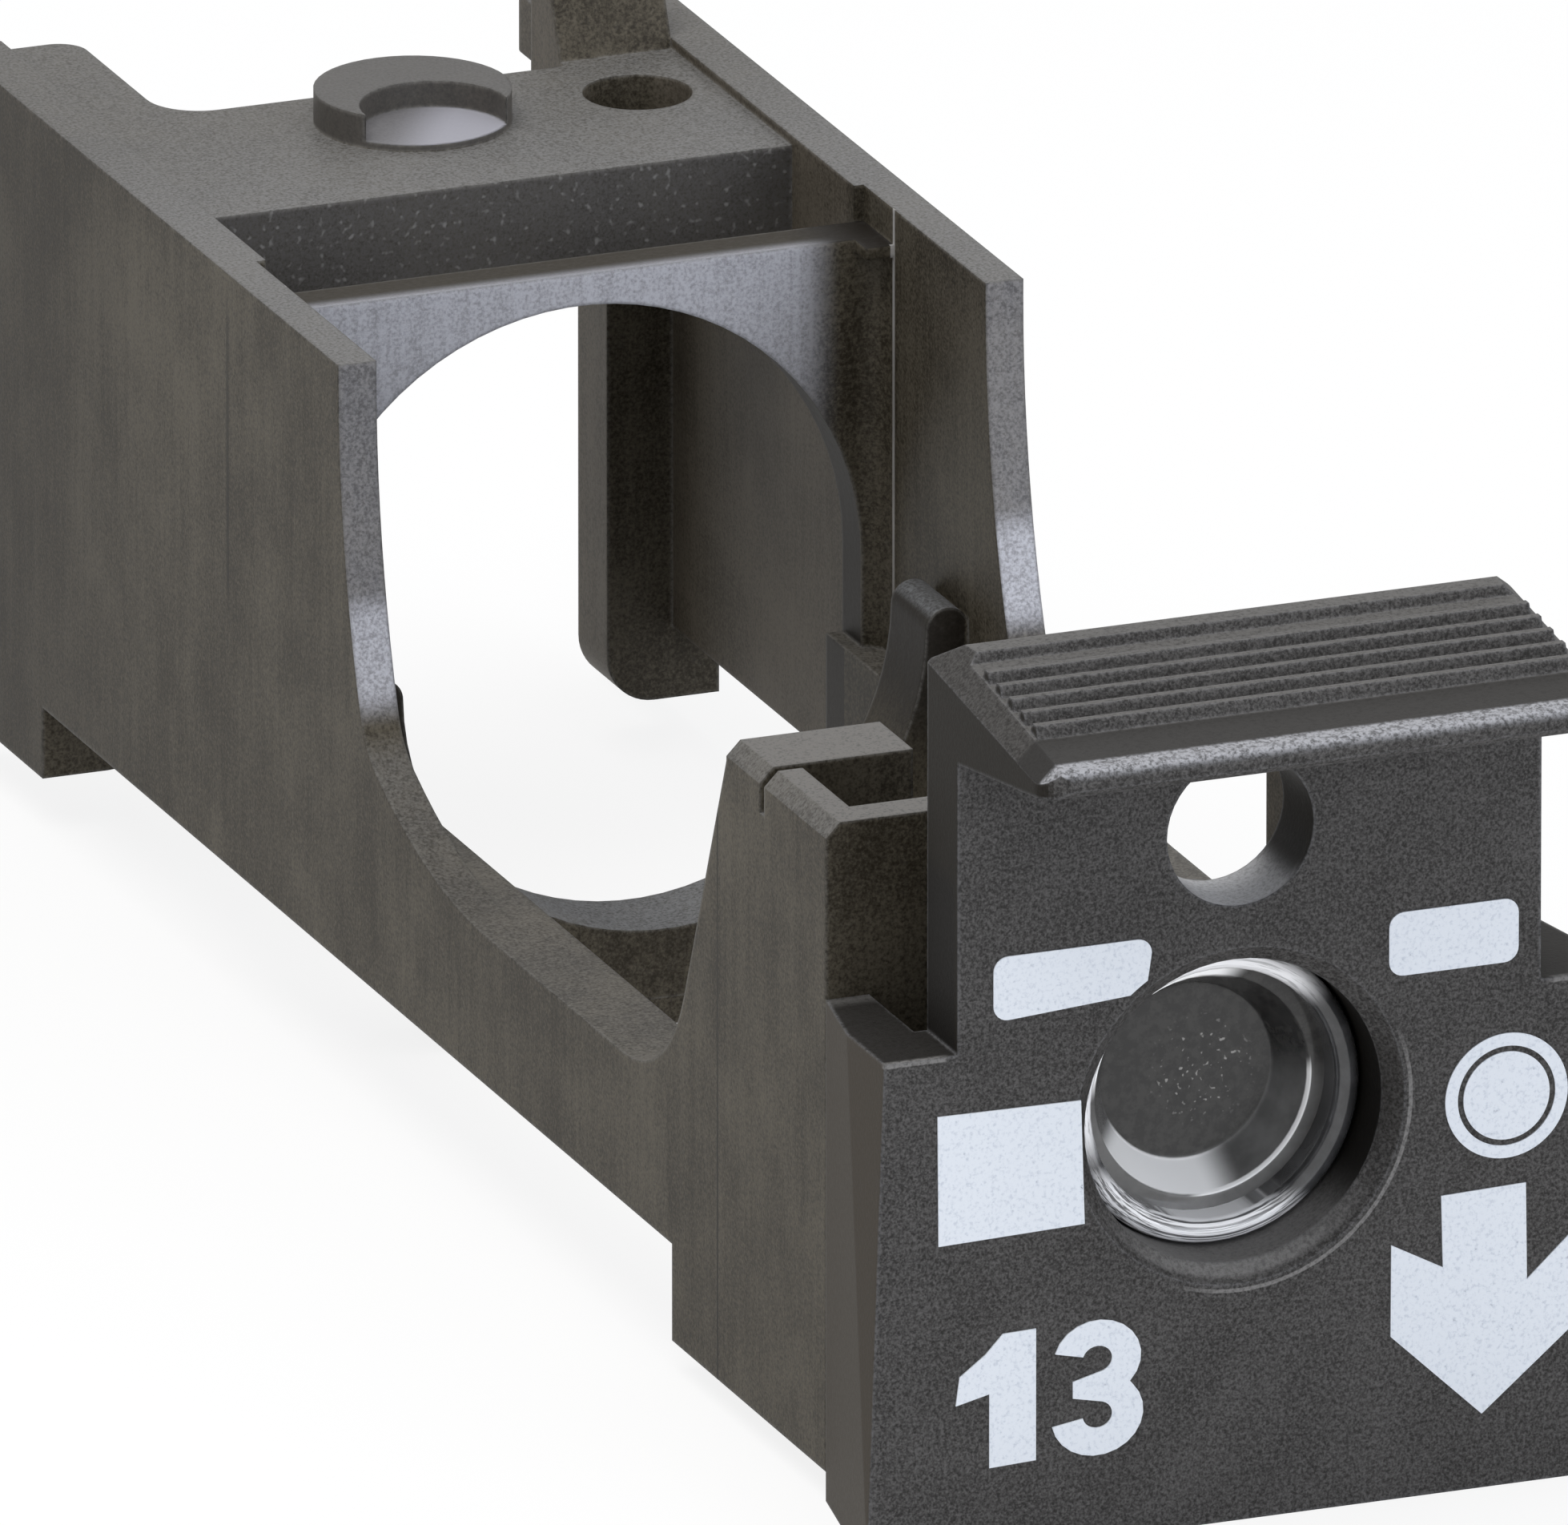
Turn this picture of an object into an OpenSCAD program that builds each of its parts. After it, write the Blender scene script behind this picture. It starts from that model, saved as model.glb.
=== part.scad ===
// Fuse drawer: the pull-out carrier of a small cartridge fuse, for a distribution board.
// Four pieces: the drawer frame, the front plate with its finger grip, the sight glass and its ring.
// Heights are measured from the underside of the front plate, lengths from its front face.

/* [Body] */
// Width over the side walls
body_w = 14.5; // [14:0.1:16]
// Length from the front face to the rear end of the side walls
body_l = 51.2; // [50:0.1:56]
// Height of the side walls, from their lower edge to their top edge
wall_h = 12.4; // [12.2:0.1:14]
// Thickness of the side walls round the side windows
wall_t = 0.8; // [0.6:0.05:0.95]
// Thickness of the side walls behind the bulkhead
rear_wall_t = 1; // [0.8:0.05:1.3]
// Height of the side walls' lower edge above the underside of the front plate
wall_base = 2.6; // [2.4:0.1:3.2]
// Width of the thick rail below each side window
rail_w = 1.6; // [1.4:0.05:1.7]
// Drop of the front box below the side walls' lower edge
step_drop = 2; // [1.6:0.1:2.2]
// Length of the front box, from the front face
step_y = 12.1; // [11.5:0.1:13]
// Thickness of the front box's floor
floor_t = 0.8; // [0.6:0.05:1]

/* [Side windows] */
// Place of the windows' upright rear edge
window_rear = 30; // [29:0.1:30.3]
// Height of the windows' floor above the side walls' lower edge
window_sill = 3.1; // [2.8:0.1:3.6]
// Radius of the bowed rear edge
window_bow_r = 19; // [16:0.5:24]
// Angle that the rear edge bows through
window_bow_a = 20; // [16:1:24]
// Radius of the lower rear corner
window_corner_r = 1.8; // [1.4:0.1:2.4]
// Radius of the long curve from the floor up to that corner
window_sweep_r = 13; // [10:0.5:15]
// Angle that the long curve turns through
window_sweep_a = 27; // [22:1:30]
// Radius of the lower front corner
window_front_r = 3.5; // [3:0.1:4]
// Lean of the front edge
window_front_a = 22; // [18:1:24]

/* [Front posts] */
// Width of each post, side wall included
post_w = 3.2; // [3:0.05:3.4]
// Place of the posts' rear face
post_rear = 9.2; // [8.8:0.1:9.6]
// Height of the posts above the side walls' lower edge
post_h = 11.3; // [11:0.1:11.8]
// Thickness of the posts' front web
post_wall = 0.8; // [0.6:0.05:1]
// Thickness of the posts' rear web
post_back = 1.75; // [1.2:0.05:2]
// Depth of the pocket between the webs
pocket_d = 6.2; // [5:0.1:6.6]
// Width of the slit in the wall beside the pocket
slit_w = 0.24; // [0.15:0.01:0.35]
// Depth of the slit
slit_d = 0.9; // [0.5:0.1:1.4]
// Bevel on the posts' upper outer edge
post_bevel = 0.3; // [0.15:0.05:0.45]

/* [Fuse seat] */
// Diameter of the fuse's body
fuse_d = 11; // [10.8:0.1:11.2]
// Height of the fuse's axis above the side walls' lower edge
fuse_h = 5; // [4.9:0.05:5.3]
// Clearance round the fuse in the bulkhead's arch
arch_clear = 0.5; // [0.35:0.05:0.6]
// Clearance under the fuse on the saddle
saddle_clear = 0.05; // [0:0.01:0.15]
// Place of the saddle's front face
saddle_y = 30.9; // [30.6:0.1:31.5]
// Thickness of the saddle
saddle_t = 1.9; // [1.5:0.1:2.2]
// Height of the saddle's rounded tips above the side walls' lower edge
saddle_tip_h = 5.4; // [5.1:0.05:5.6]
// Half width of the saddle's lowest edge
saddle_keel = 4.4; // [3.6:0.1:4.8]
// Place of the bulkhead's front face
bulkhead_y = 35.5; // [35:0.1:36]
// Thickness of the bulkhead
bulkhead_t = 1.05; // [0.9:0.05:1.3]
// Drop of the bulkhead's top below the side walls' top
bulkhead_drop = 0.75; // [0.6:0.05:0.8]
// Radius of the fillet between the bulkhead and each side wall
bulkhead_fillet = 0.6; // [0.4:0.05:0.8]

/* [Deck] */
// Length of the deck, from its front edge to its rear edge between the two tongues
deck_l = 6.25; // [5.8:0.05:6.8]
// Length of the two rear tongues, behind the deck's rear edge
tongue_l = 5.05; // [4.9:0.05:5.4]
// Thickness of the deck
deck_t = 1.2; // [1:0.05:1.4]
// Drop of the deck below the side walls' top
deck_drop = 0.2; // [0.1:0.05:0.3]
// Height of the lip under the deck's front edge
lip_h = 2.1; // [1.8:0.05:2.2]
// Width of each rear tongue, side wall included
tongue_w = 2.6; // [2.3:0.1:2.8]
// Radius of the hollow corner between the deck and each tongue
tongue_r = 1.1; // [0.8:0.1:1.3]
// Radius of each tongue's end corner
tongue_end_r = 0.6; // [0.3:0.1:1]
// Diameter of the round boss
boss_d = 3.96; // [3.6:0.04:4.2]
// Height of the round boss
boss_h = 0.7; // [0.5:0.05:0.8]
// Diameter of the round hollow that cuts into the boss's front
dish_d = 3; // [2.4:0.1:3.2]
// Height of the hollow's floor above the deck
dish_h = 0.15; // [0.1:0.01:0.25]
// Distance of the hollow's centre in front of the boss's centre
dish_shift = 1.2; // [0.8:0.1:1.4]
// Diameter of the small hole
hole_d = 2.2; // [2:0.05:2.4]
// Distance of the small hole from the middle
hole_x = 4.6; // [4.4:0.05:4.7]
// Distance of the boss and the small hole from the deck's rear edge
row_inset = 2.05; // [2:0.05:2.3]
// Width of the key that stands on the right rear corner
key_w = 2.4; // [2:0.1:2.5]
// Height of the key above the deck
key_h = 2.2; // [1.6:0.1:2.4]
// Lean of the key's front face, from its foot to its top
key_lean = 0.9; // [0.6:0.1:1.1]

/* [Rear feet] */
// Distance of the feet's front face from the rear end of the side walls
foot_inset = 4.8; // [4.4:0.1:4.9]
// Thickness of each pillar between deck and foot
foot_t = 1.6; // [1.4:0.1:1.8]
// Drop of the feet below the side walls' lower edge
foot_drop = 1.5; // [1.2:0.1:1.8]
// Gap between the pillars, which lets only the right fuse foot through
gauge_gap = 9.7; // [9.3:0.1:9.8]
// Radius of each pillar's lower inner corner
foot_r = 1; // [0.6:0.1:1.2]

/* [Front plate] */
// Width of the lower plate at its shoulders
shoulder_w = 15.2; // [15:0.1:16]
// Width of the lower plate at its underside
base_w = 15.9; // [15.8:0.1:16.8]
// Height of the shoulders
shoulder_h = 10.3; // [10.1:0.1:10.6]
// Width of the neck that carries the grip
neck_w = 12.15; // [11.8:0.05:12.5]
// Overall height of the plate
plate_h = 18.3; // [18:0.1:19]
// Thickness of the plate
plate_t = 1.6; // [1.4:0.05:1.8]
// Depth of the plate's flanges, back to the frame
cap_y = 3.95; // [3.8:0.05:4.2]
// Thickness of the flanges
flange_t = 0.9; // [0.7:0.05:1]
// Thickness of the two ribs behind the neck
neck_rib_t = 0.8; // [0.6:0.05:0.8]
// Diameter of the probe hole
probe_d = 3.06; // [2.9:0.02:3.2]
// Height of the probe hole's centre
probe_h = 14.15; // [14.1:0.05:14.3]
// Offset of the probe hole, the sight glass and the boss to the left of the middle
eye_x = 0.2; // [0:0.05:0.3]
// Diameter of the pegs that hold the plate to the frame
peg_d = 1.6; // [1.4:0.05:1.7]
// Length of the pegs
peg_l = 2.2; // [1.8:0.1:2.4]
// Distance of each peg from the middle
peg_x = 5.3; // [5.2:0.05:5.4]
// Height of the pegs
peg_h = 4; // [3.6:0.1:4.4]
// Wall of the bosses round the pegs' roots
peg_wall = 0.45; // [0.35:0.05:0.5]
// Clearance of the pegs in the frame, all round
peg_clear = 0.05; // [0.04:0.01:0.08]

/* [Finger grip] */
// Reach of the grip in front of the plate
grip_reach = 4.65; // [4.3:0.05:5]
// Setback of the grip's top rear edge behind the front face
grip_back = 1; // [0.8:0.05:1.2]
// Width of the raised strip along that edge
grip_strip = 0.5; // [0.4:0.05:0.6]
// Drop of the nose's top below the plate's top
nose_drop = 0.8; // [0.7:0.05:0.9]
// Height of the nose's lower edge below the plate's top
nose_low = 1.35; // [1.25:0.05:1.6]
// Radius of the nose
nose_r = 0.3; // [0.2:0.05:0.35]
// Radius of the nose's corners, seen from above
nose_corner_r = 0.7; // [0.5:0.05:0.9]
// Bevel on the grip's upper edges at its two ends
grip_bevel = 0.4; // [0.3:0.05:0.45]
// Depth of the grip at the plate, from the plate's top to its underside
grip_under = 2.05; // [1.9:0.05:2.2]
// Number of ribs across the grip
grip_ribs = 5; // [3:1:5]
// Distance from rib to rib
grip_pitch = 0.62; // [0.56:0.01:0.66]
// Distance of the first rib in front of the front face
grip_first = 0.35; // [0.3:0.01:0.45]
// Height of a rib
grip_rib_h = 0.2; // [0.15:0.01:0.25]
// Width of a rib at its foot
grip_rib_w = 0.4; // [0.3:0.01:0.44]
// Width of a rib at its top
grip_rib_top = 0.18; // [0.1:0.01:0.24]
// Distance of the ribs' ends from the grip's ends
grip_rib_end = 0.45; // [0.35:0.05:0.7]

/* [Sight glass] */
// Height of the glass's axis
glass_h = 8.3; // [8.2:0.05:8.4]
// Diameter of the recess at the front face
recess_d = 6.9; // [6.7:0.05:7]
// Bevel round the recess
recess_bevel = 0.35; // [0.25:0.05:0.45]
// Depth of the recess, down to the seat of the glass
recess_h = 2.4; // [2.3:0.05:2.5]
// Wall of the boss round the recess, behind the plate
glass_boss_wall = 0.45; // [0.4:0.05:0.5]
// Diameter of the way through behind the seat
glass_way_d = 4.9; // [4.8:0.05:5]
// Clearance of the glass and its ring in their seat, all round
glass_clear = 0.05; // [0.03:0.01:0.08]
// Thickness of the glass's flange
glass_flange_t = 0.45; // [0.4:0.05:0.5]
// Wall of the cup-shaped glass
glass_wall = 0.15; // [0.1:0.05:0.3]
// Depth of the cup from its rim to its floor
cup_h = 0.9; // [0.8:0.05:1]
// Diameter of the cup's floor
cup_floor_d = 3.6; // [3.2:0.1:3.8]
// Thickness of the cup's floor
cup_floor_t = 0.5; // [0.4:0.05:0.6]
// Width of the ring that holds the glass
ring_w = 0.5; // [0.4:0.02:0.55]
// Depth of the ring along the glass's axis
ring_l = 0.75; // [0.65:0.05:0.85]

/* [Hidden] */
$fn = 72;
// Steps in each drawn arc
arc_n = 10;
// Overlap of cutting shapes past the faces that they cut
cut = 1;

wall_x = body_w / 2;
inner_x = wall_x - wall_t;
rear_inner_x = wall_x - rear_wall_t;
rail_x = wall_x - rail_w;
wall_top = wall_base + wall_h;
step_base = wall_base - step_drop;
foot_base = wall_base - foot_drop;
sill_z = wall_base + window_sill;
fuse_z = wall_base + fuse_h;
saddle_r = fuse_d / 2 + saddle_clear;
arch_r = fuse_d / 2 + arch_clear;
saddle_tip_z = wall_base + saddle_tip_h;
bulkhead_top = wall_top - bulkhead_drop;
bulkhead_rear = bulkhead_y + bulkhead_t;
deck_top = wall_top - deck_drop;
deck_under = deck_top - deck_t;
deck_rear = body_l - tongue_l;
deck_y = deck_rear - deck_l;
foot_y = body_l - foot_inset;
row_y = deck_rear - row_inset;
tongue_x = wall_x - tongue_w;
post_x = wall_x - post_w;
post_top = wall_base + post_h;
pocket_z = post_top - pocket_d;
pocket_y0 = cap_y + post_wall;
pocket_y1 = post_rear - post_back;
saddle_tip_r = (inner_x - saddle_r) / 2;
pillar_x = gauge_gap / 2;
neck_x = neck_w / 2;
nose_top = plate_h - nose_drop;
grip_top = plate_h - grip_rib_h;
strip_y = grip_back - grip_strip;
grip_slope = atan((grip_top - nose_top) / (strip_y + grip_reach));
glass_seat_r = recess_d / 2 - recess_bevel;
glass_flange_r = glass_seat_r - glass_clear;
glass_flange_y = recess_h - glass_flange_t;
glass_tube_r = glass_way_d / 2 - glass_clear;
cup_rim_r = glass_tube_r - glass_wall;
cup_floor_y = glass_flange_y + cup_h;
glass_boss_r = glass_seat_r + glass_boss_wall;
// The frame's bridge stays clear of the glass's boss by the thickness of the boss's wall
bridge_r = glass_way_d / 2 + glass_boss_wall;
// The origin lies under the middle of the whole part
origin_y = (body_l - grip_reach) / 2;

function arc(c, r, a0, a1) =
    [for (i = [0 : arc_n]) let (a = a0 + (a1 - a0) * i / arc_n) c + r * [cos(a), sin(a)]];
function toward(a) = [cos(a), sin(a)];

// Places a sideways profile, drawn as length and height, from x0 over a width w
module along_x(x0, w) {
    translate([x0, 0, 0])
        rotate([90, 0, 90])
            linear_extrude(w)
                children();
}

// Places a front profile, drawn as width and height, from y0 over a length l
module along_y(y0, l) {
    translate([0, y0 + l, 0])
        rotate([90, 0, 0])
            linear_extrude(l)
                children();
}

// A round bar along the length, from y0 over a length l
module bar_y(x, y0, z, l, r1, r2) {
    translate([x, y0, z])
        rotate([-90, 0, 0])
            cylinder(h = l, r1 = r1, r2 = r2);
}

module both_sides() {
    children();
    mirror([1, 0, 0])
        children();
}

module place() {
    translate([0, -origin_y, 0])
        children();
}

// Outline of a side wall with its window, from the post's top round to the rear top corner
module wall_profile() {
    bow_c = [
        window_rear - window_bow_r,
        sill_z + window_sweep_r - (window_sweep_r - window_corner_r) * cos(window_sweep_a)
            + (window_bow_r - window_corner_r) * sin(window_bow_a)
    ];
    corner_c = bow_c + (window_bow_r - window_corner_r) * toward(-window_bow_a);
    sweep_c = corner_c - (window_sweep_r - window_corner_r) * toward(window_sweep_a - 90);
    front_turn = 90 - window_front_a;
    front_top_y = post_rear - 0.2 * wall_t;
    front_foot_y = front_top_y + (post_top - sill_z) * tan(window_front_a);
    front_c = [front_foot_y + window_front_r * tan(front_turn / 2), sill_z + window_front_r];
    polygon(concat(
        [
            [cap_y, step_base],
            [step_y, step_base],
            [step_y, wall_base],
            [foot_y, wall_base],
            [foot_y, foot_base],
            [body_l, foot_base],
            [body_l, wall_top],
            [window_rear, wall_top]
        ],
        arc(bow_c, window_bow_r, 0, -window_bow_a),
        arc(corner_c, window_corner_r, -window_bow_a, window_sweep_a - 90),
        arc(sweep_c, window_sweep_r, window_sweep_a - 90, -90),
        arc(front_c, window_front_r, -90, -90 - front_turn),
        [[front_top_y, post_top], [cap_y, post_top]]
    ));
}

// Side wall, its thicker rear stretch and the rail from the post to the bulkhead
module side_wall() {
    along_x(inner_x, wall_t)
        wall_profile();
    along_x(rear_inner_x, rear_wall_t)
        intersection() {
            wall_profile();
            translate([bulkhead_rear, 0])
                square([body_l, wall_top]);
        }
    translate([rail_x, post_rear, wall_base])
        cube([rail_w, bulkhead_rear - post_rear, window_sill]);
}

// Post at a front corner: two webs on the side wall, with a pocket between them
module post() {
    difference() {
        translate([post_x, cap_y, step_base])
            cube([post_w, post_rear - cap_y, post_top - step_base]);
        translate([post_x - cut, pocket_y0, pocket_z])
            cube([post_w - wall_t + cut, pocket_y1 - pocket_y0, pocket_d + cut]);
    }
}

// What is cut from the finished wall and post together
module post_cuts() {
    translate([inner_x - cut, pocket_y1 - slit_w, post_top - slit_d])
        cube([wall_t + 2 * cut, slit_w, slit_d + cut]);
    along_y(cap_y - cut, post_rear - cap_y + cut)
        polygon([
            [wall_x - post_bevel, post_top + 0.01],
            [wall_x + cut, post_top + 0.01],
            [wall_x + cut, post_top - post_bevel],
            [wall_x, post_top - post_bevel]
        ]);
}

// Floor and low bridge between the two posts, with a round hollow behind the sight glass
module front_box() {
    translate([-wall_x, cap_y, step_base])
        cube([body_w, step_y - cap_y, floor_t]);
    difference() {
        translate([-post_x - cut, cap_y, step_base])
            cube([2 * (post_x + cut), post_wall, glass_h - step_base]);
        bar_y(-eye_x, cap_y - cut, glass_h, post_wall + 2 * cut, bridge_r, bridge_r);
    }
}

// Cross rib that carries the fuse, with a round tip beside the fuse at each side wall
module saddle() {
    difference() {
        along_y(saddle_y, saddle_t)
            union() {
                polygon([
                    [-saddle_keel, step_base],
                    [saddle_keel, step_base],
                    [rail_x, wall_base],
                    [inner_x, wall_base],
                    [inner_x, saddle_tip_z - saddle_tip_r],
                    [-inner_x, saddle_tip_z - saddle_tip_r],
                    [-inner_x, wall_base],
                    [-rail_x, wall_base]
                ]);
                for (side = [-1, 1])
                    translate([side * (inner_x - saddle_tip_r), saddle_tip_z - saddle_tip_r])
                        circle(r = saddle_tip_r);
            }
        bar_y(0, saddle_y - cut, fuse_z, saddle_t + 2 * cut, saddle_r, saddle_r);
        translate([-saddle_r, saddle_y - cut, fuse_z])
            cube([2 * saddle_r, saddle_t + 2 * cut, wall_h]);
    }
}

// Way of the fuse through the bulkhead: round above its axis, straight below
module arch_way(y0, l) {
    bar_y(0, y0, fuse_z, l, arch_r, arch_r);
    translate([-arch_r, y0, wall_base - cut])
        cube([2 * arch_r, l, fuse_h + cut]);
}

module bulkhead() {
    difference() {
        union() {
            translate([-wall_x, bulkhead_y, wall_base])
                cube([body_w, bulkhead_t, bulkhead_top - wall_base]);
            both_sides()
                difference() {
                    translate([inner_x - bulkhead_fillet, bulkhead_y - bulkhead_fillet, wall_base])
                        cube([bulkhead_fillet, bulkhead_fillet, bulkhead_top - wall_base]);
                    translate([inner_x - bulkhead_fillet, bulkhead_y - bulkhead_fillet, wall_base - cut])
                        cylinder(h = wall_h, r = bulkhead_fillet);
                }
        }
        arch_way(bulkhead_y - bulkhead_fillet - cut, bulkhead_fillet + bulkhead_t + 2 * cut);
    }
}

// Outline of the deck seen from above: the two tongues, their hollow corners and the key's corner
module deck_outline() {
    difference() {
        translate([-wall_x, deck_y])
            square([body_w, body_l - deck_y]);
        translate([-tongue_x + tongue_r, deck_rear])
            square([2 * (tongue_x - tongue_r), body_l]);
        translate([-tongue_x, deck_rear + tongue_r])
            square([2 * tongue_x, body_l]);
        both_sides() {
            translate([tongue_x - tongue_r, deck_rear + tongue_r])
                circle(r = tongue_r);
            difference() {
                translate([tongue_x - cut, body_l - tongue_end_r])
                    square([tongue_end_r + cut, tongue_end_r + cut]);
                translate([tongue_x + tongue_end_r, body_l - tongue_end_r])
                    circle(r = tongue_end_r);
            }
        }
    }
    translate([rear_inner_x - key_w, deck_y])
        square([key_w, foot_y + foot_t - deck_y]);
}

module deck() {
    difference() {
        union() {
            translate([0, 0, deck_under])
                linear_extrude(deck_t)
                    deck_outline();
            translate([-rear_inner_x, deck_y, deck_top - lip_h])
                cube([2 * rear_inner_x, deck_t, lip_h]);
            translate([-eye_x, row_y, deck_under])
                cylinder(h = deck_t + boss_h, d = boss_d);
            along_x(rear_inner_x - key_w, key_w)
                polygon([
                    [foot_y, deck_under],
                    [foot_y + foot_t, deck_under],
                    [foot_y + foot_t, deck_top + key_h],
                    [foot_y + key_lean, deck_top + key_h],
                    [foot_y, deck_top]
                ]);
        }
        translate([hole_x, row_y, deck_under - cut])
            cylinder(h = deck_t + 2 * cut, d = hole_d);
        translate([-eye_x, row_y - dish_shift, deck_top + dish_h])
            cylinder(h = boss_h + cut, d = dish_d);
    }
}

// Pillar from the deck down to a rear foot, its lower inner corner rounded
module pillar() {
    foot_w = wall_x - pillar_x;
    along_y(foot_y, foot_t)
        difference() {
            translate([pillar_x, foot_base])
                square([foot_w, deck_top - foot_base]);
            difference() {
                translate([pillar_x - cut, foot_base - cut])
                    square([foot_r + cut, foot_r + cut]);
                translate([pillar_x + foot_r, foot_base + foot_r])
                    circle(r = foot_r);
            }
        }
}

module drawer_frame() {
    color("dimgray")
        place()
            union() {
                both_sides()
                    difference() {
                        union() {
                            side_wall();
                            post();
                        }
                        post_cuts();
                        bar_y(
                            peg_x, cap_y - cut, peg_h, peg_l + peg_clear + cut,
                            peg_d / 2 + peg_clear, peg_d / 2 + peg_clear
                        );
                    }
                front_box();
                saddle();
                bulkhead();
                deck();
                both_sides()
                    pillar();
            }
}

// Front view of the lower plate, wider at its underside
module shoulder_profile() {
    polygon([
        [-base_w / 2, 0],
        [base_w / 2, 0],
        [shoulder_w / 2, shoulder_h],
        [-shoulder_w / 2, shoulder_h]
    ]);
}

// Plan of the lower plate: its sides draw in to the width of the frame
module cap_plan() {
    polygon([
        [-base_w / 2, 0],
        [base_w / 2, 0],
        [wall_x, cap_y],
        [-wall_x, cap_y]
    ]);
}

// Lower plate with flanges at its sides and underside, hollow behind
module cap() {
    difference() {
        intersection() {
            along_y(0, cap_y)
                shoulder_profile();
            linear_extrude(plate_h)
                cap_plan();
        }
        translate([-(wall_x - flange_t), plate_t, flange_t])
            cube([body_w - 2 * flange_t, cap_y, plate_h]);
    }
}

// Side view of the finger grip
module grip_profile() {
    polygon(concat(
        [
            [plate_t, plate_h - 2 * grip_under],
            [plate_t, grip_top - grip_rib_h],
            [grip_back, plate_h],
            [strip_y, plate_h],
            [strip_y - grip_rib_h / 2, grip_top]
        ],
        arc([nose_r - grip_reach, nose_top - nose_r], nose_r, 90 + grip_slope, 180),
        [
            [-grip_reach, plate_h - nose_low + nose_r / 2],
            [nose_r / 2 - grip_reach, plate_h - nose_low],
            [0, plate_h - grip_under],
            [0, plate_h - 2 * grip_under]
        ]
    ));
}

// Plan of the grip, its nose corners rounded
module grip_plan() {
    corner = [neck_x - nose_corner_r, nose_corner_r - grip_reach];
    polygon(concat(
        [[neck_x, plate_t]],
        arc(corner, nose_corner_r, 0, -90),
        arc([-corner.x, corner.y], nose_corner_r, -90, -180),
        [[-neck_x, plate_t]]
    ));
}

// What the bevel takes from the grip's right end, along the slope of its top
module grip_end_cut() {
    reach = grip_reach + plate_t;
    translate([neck_x, strip_y, grip_top])
        rotate([grip_slope, 0, 0])
            along_y(-2 * reach, 3 * reach)
                polygon([
                    [-grip_bevel - cut, cut],
                    [cut, cut],
                    [cut, -grip_bevel - cut]
                ]);
}

// Low ribs across the top of the grip, for the finger
module grip_rib_bars() {
    for (i = [0 : grip_ribs - 1])
        let (
            rib_y = -grip_first - i * grip_pitch,
            rib_z = grip_top + (rib_y - strip_y) * tan(grip_slope)
        )
            along_x(grip_rib_end - neck_x, neck_w - 2 * grip_rib_end)
                polygon([
                    [rib_y - grip_rib_w / 2, rib_z - grip_rib_h],
                    [rib_y + grip_rib_w / 2, rib_z - grip_rib_h],
                    [rib_y + grip_rib_w / 2, rib_z],
                    [rib_y + grip_rib_top / 2, rib_z + grip_rib_h],
                    [rib_y - grip_rib_top / 2, rib_z + grip_rib_h],
                    [rib_y - grip_rib_w / 2, rib_z - grip_rib_w * tan(grip_slope)]
                ]);
}

module front_plate() {
    color("darkslategray")
        place()
            difference() {
                union() {
                    cap();
                    translate([-neck_x, 0, flange_t])
                        cube([neck_w, plate_t, plate_h - grip_under - flange_t]);
                    difference() {
                        intersection() {
                            along_x(-neck_x, neck_w)
                                grip_profile();
                            linear_extrude(plate_h + cut)
                                grip_plan();
                        }
                        both_sides()
                            grip_end_cut();
                    }
                    grip_rib_bars();
                    both_sides() {
                        translate([post_x, 0, flange_t])
                            cube([neck_rib_t, cap_y, post_top - flange_t]);
                        bar_y(
                            peg_x, plate_t / 2, peg_h, cap_y - plate_t / 2,
                            peg_d / 2 + peg_wall, peg_d / 2 + peg_wall
                        );
                        bar_y(peg_x, plate_t, peg_h, cap_y - plate_t + peg_l, peg_d / 2, peg_d / 2);
                    }
                    bar_y(-eye_x, plate_t / 2, glass_h, cap_y - plate_t / 2, glass_boss_r, glass_boss_r);
                }
                bar_y(-eye_x, -cut, glass_h, cap_y + 2 * cut, glass_way_d / 2, glass_way_d / 2);
                bar_y(-eye_x, -cut, glass_h, recess_h + cut, glass_seat_r, glass_seat_r);
                bar_y(-eye_x, 0, glass_h, recess_bevel, recess_d / 2, glass_seat_r);
                bar_y(-eye_x, -cut, glass_h, cut, recess_d / 2, recess_d / 2);
                bar_y(-eye_x, -cut, probe_h, plate_t + 2 * cut, probe_d / 2, probe_d / 2);
            }
}

// Cup-shaped glass: a flange on the seat, a tube through it and a floor at the tube's end
module sight_glass() {
    color("lightsteelblue")
        place()
            translate([-eye_x, 0, glass_h])
                rotate([-90, 0, 0])
                    rotate_extrude()
                        polygon([
                            [0, cup_floor_y],
                            [cup_floor_d / 2, cup_floor_y],
                            [cup_rim_r, glass_flange_y],
                            [glass_flange_r, glass_flange_y],
                            [glass_flange_r, recess_h],
                            [glass_tube_r, recess_h],
                            [glass_tube_r, cup_floor_y + cup_floor_t],
                            [0, cup_floor_y + cup_floor_t]
                        ]);
}

// Ring pressed into the recess in front of the glass, its front edge rounded
module glass_ring() {
    ring_y = glass_flange_y - ring_l;
    ring_x = glass_flange_r - ring_w / 2;
    color("gray")
        place()
            translate([-eye_x, 0, glass_h])
                rotate([-90, 0, 0])
                    rotate_extrude()
                        union() {
                            translate([ring_x - ring_w / 2, ring_y + ring_w / 2])
                                square([ring_w, ring_l - ring_w / 2]);
                            translate([ring_x, ring_y + ring_w / 2])
                                circle(d = ring_w);
                        }
}

drawer_frame();
front_plate();
sight_glass();
glass_ring();
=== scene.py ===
import bmesh
import bpy
import math
from mathutils import Matrix, Vector


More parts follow.
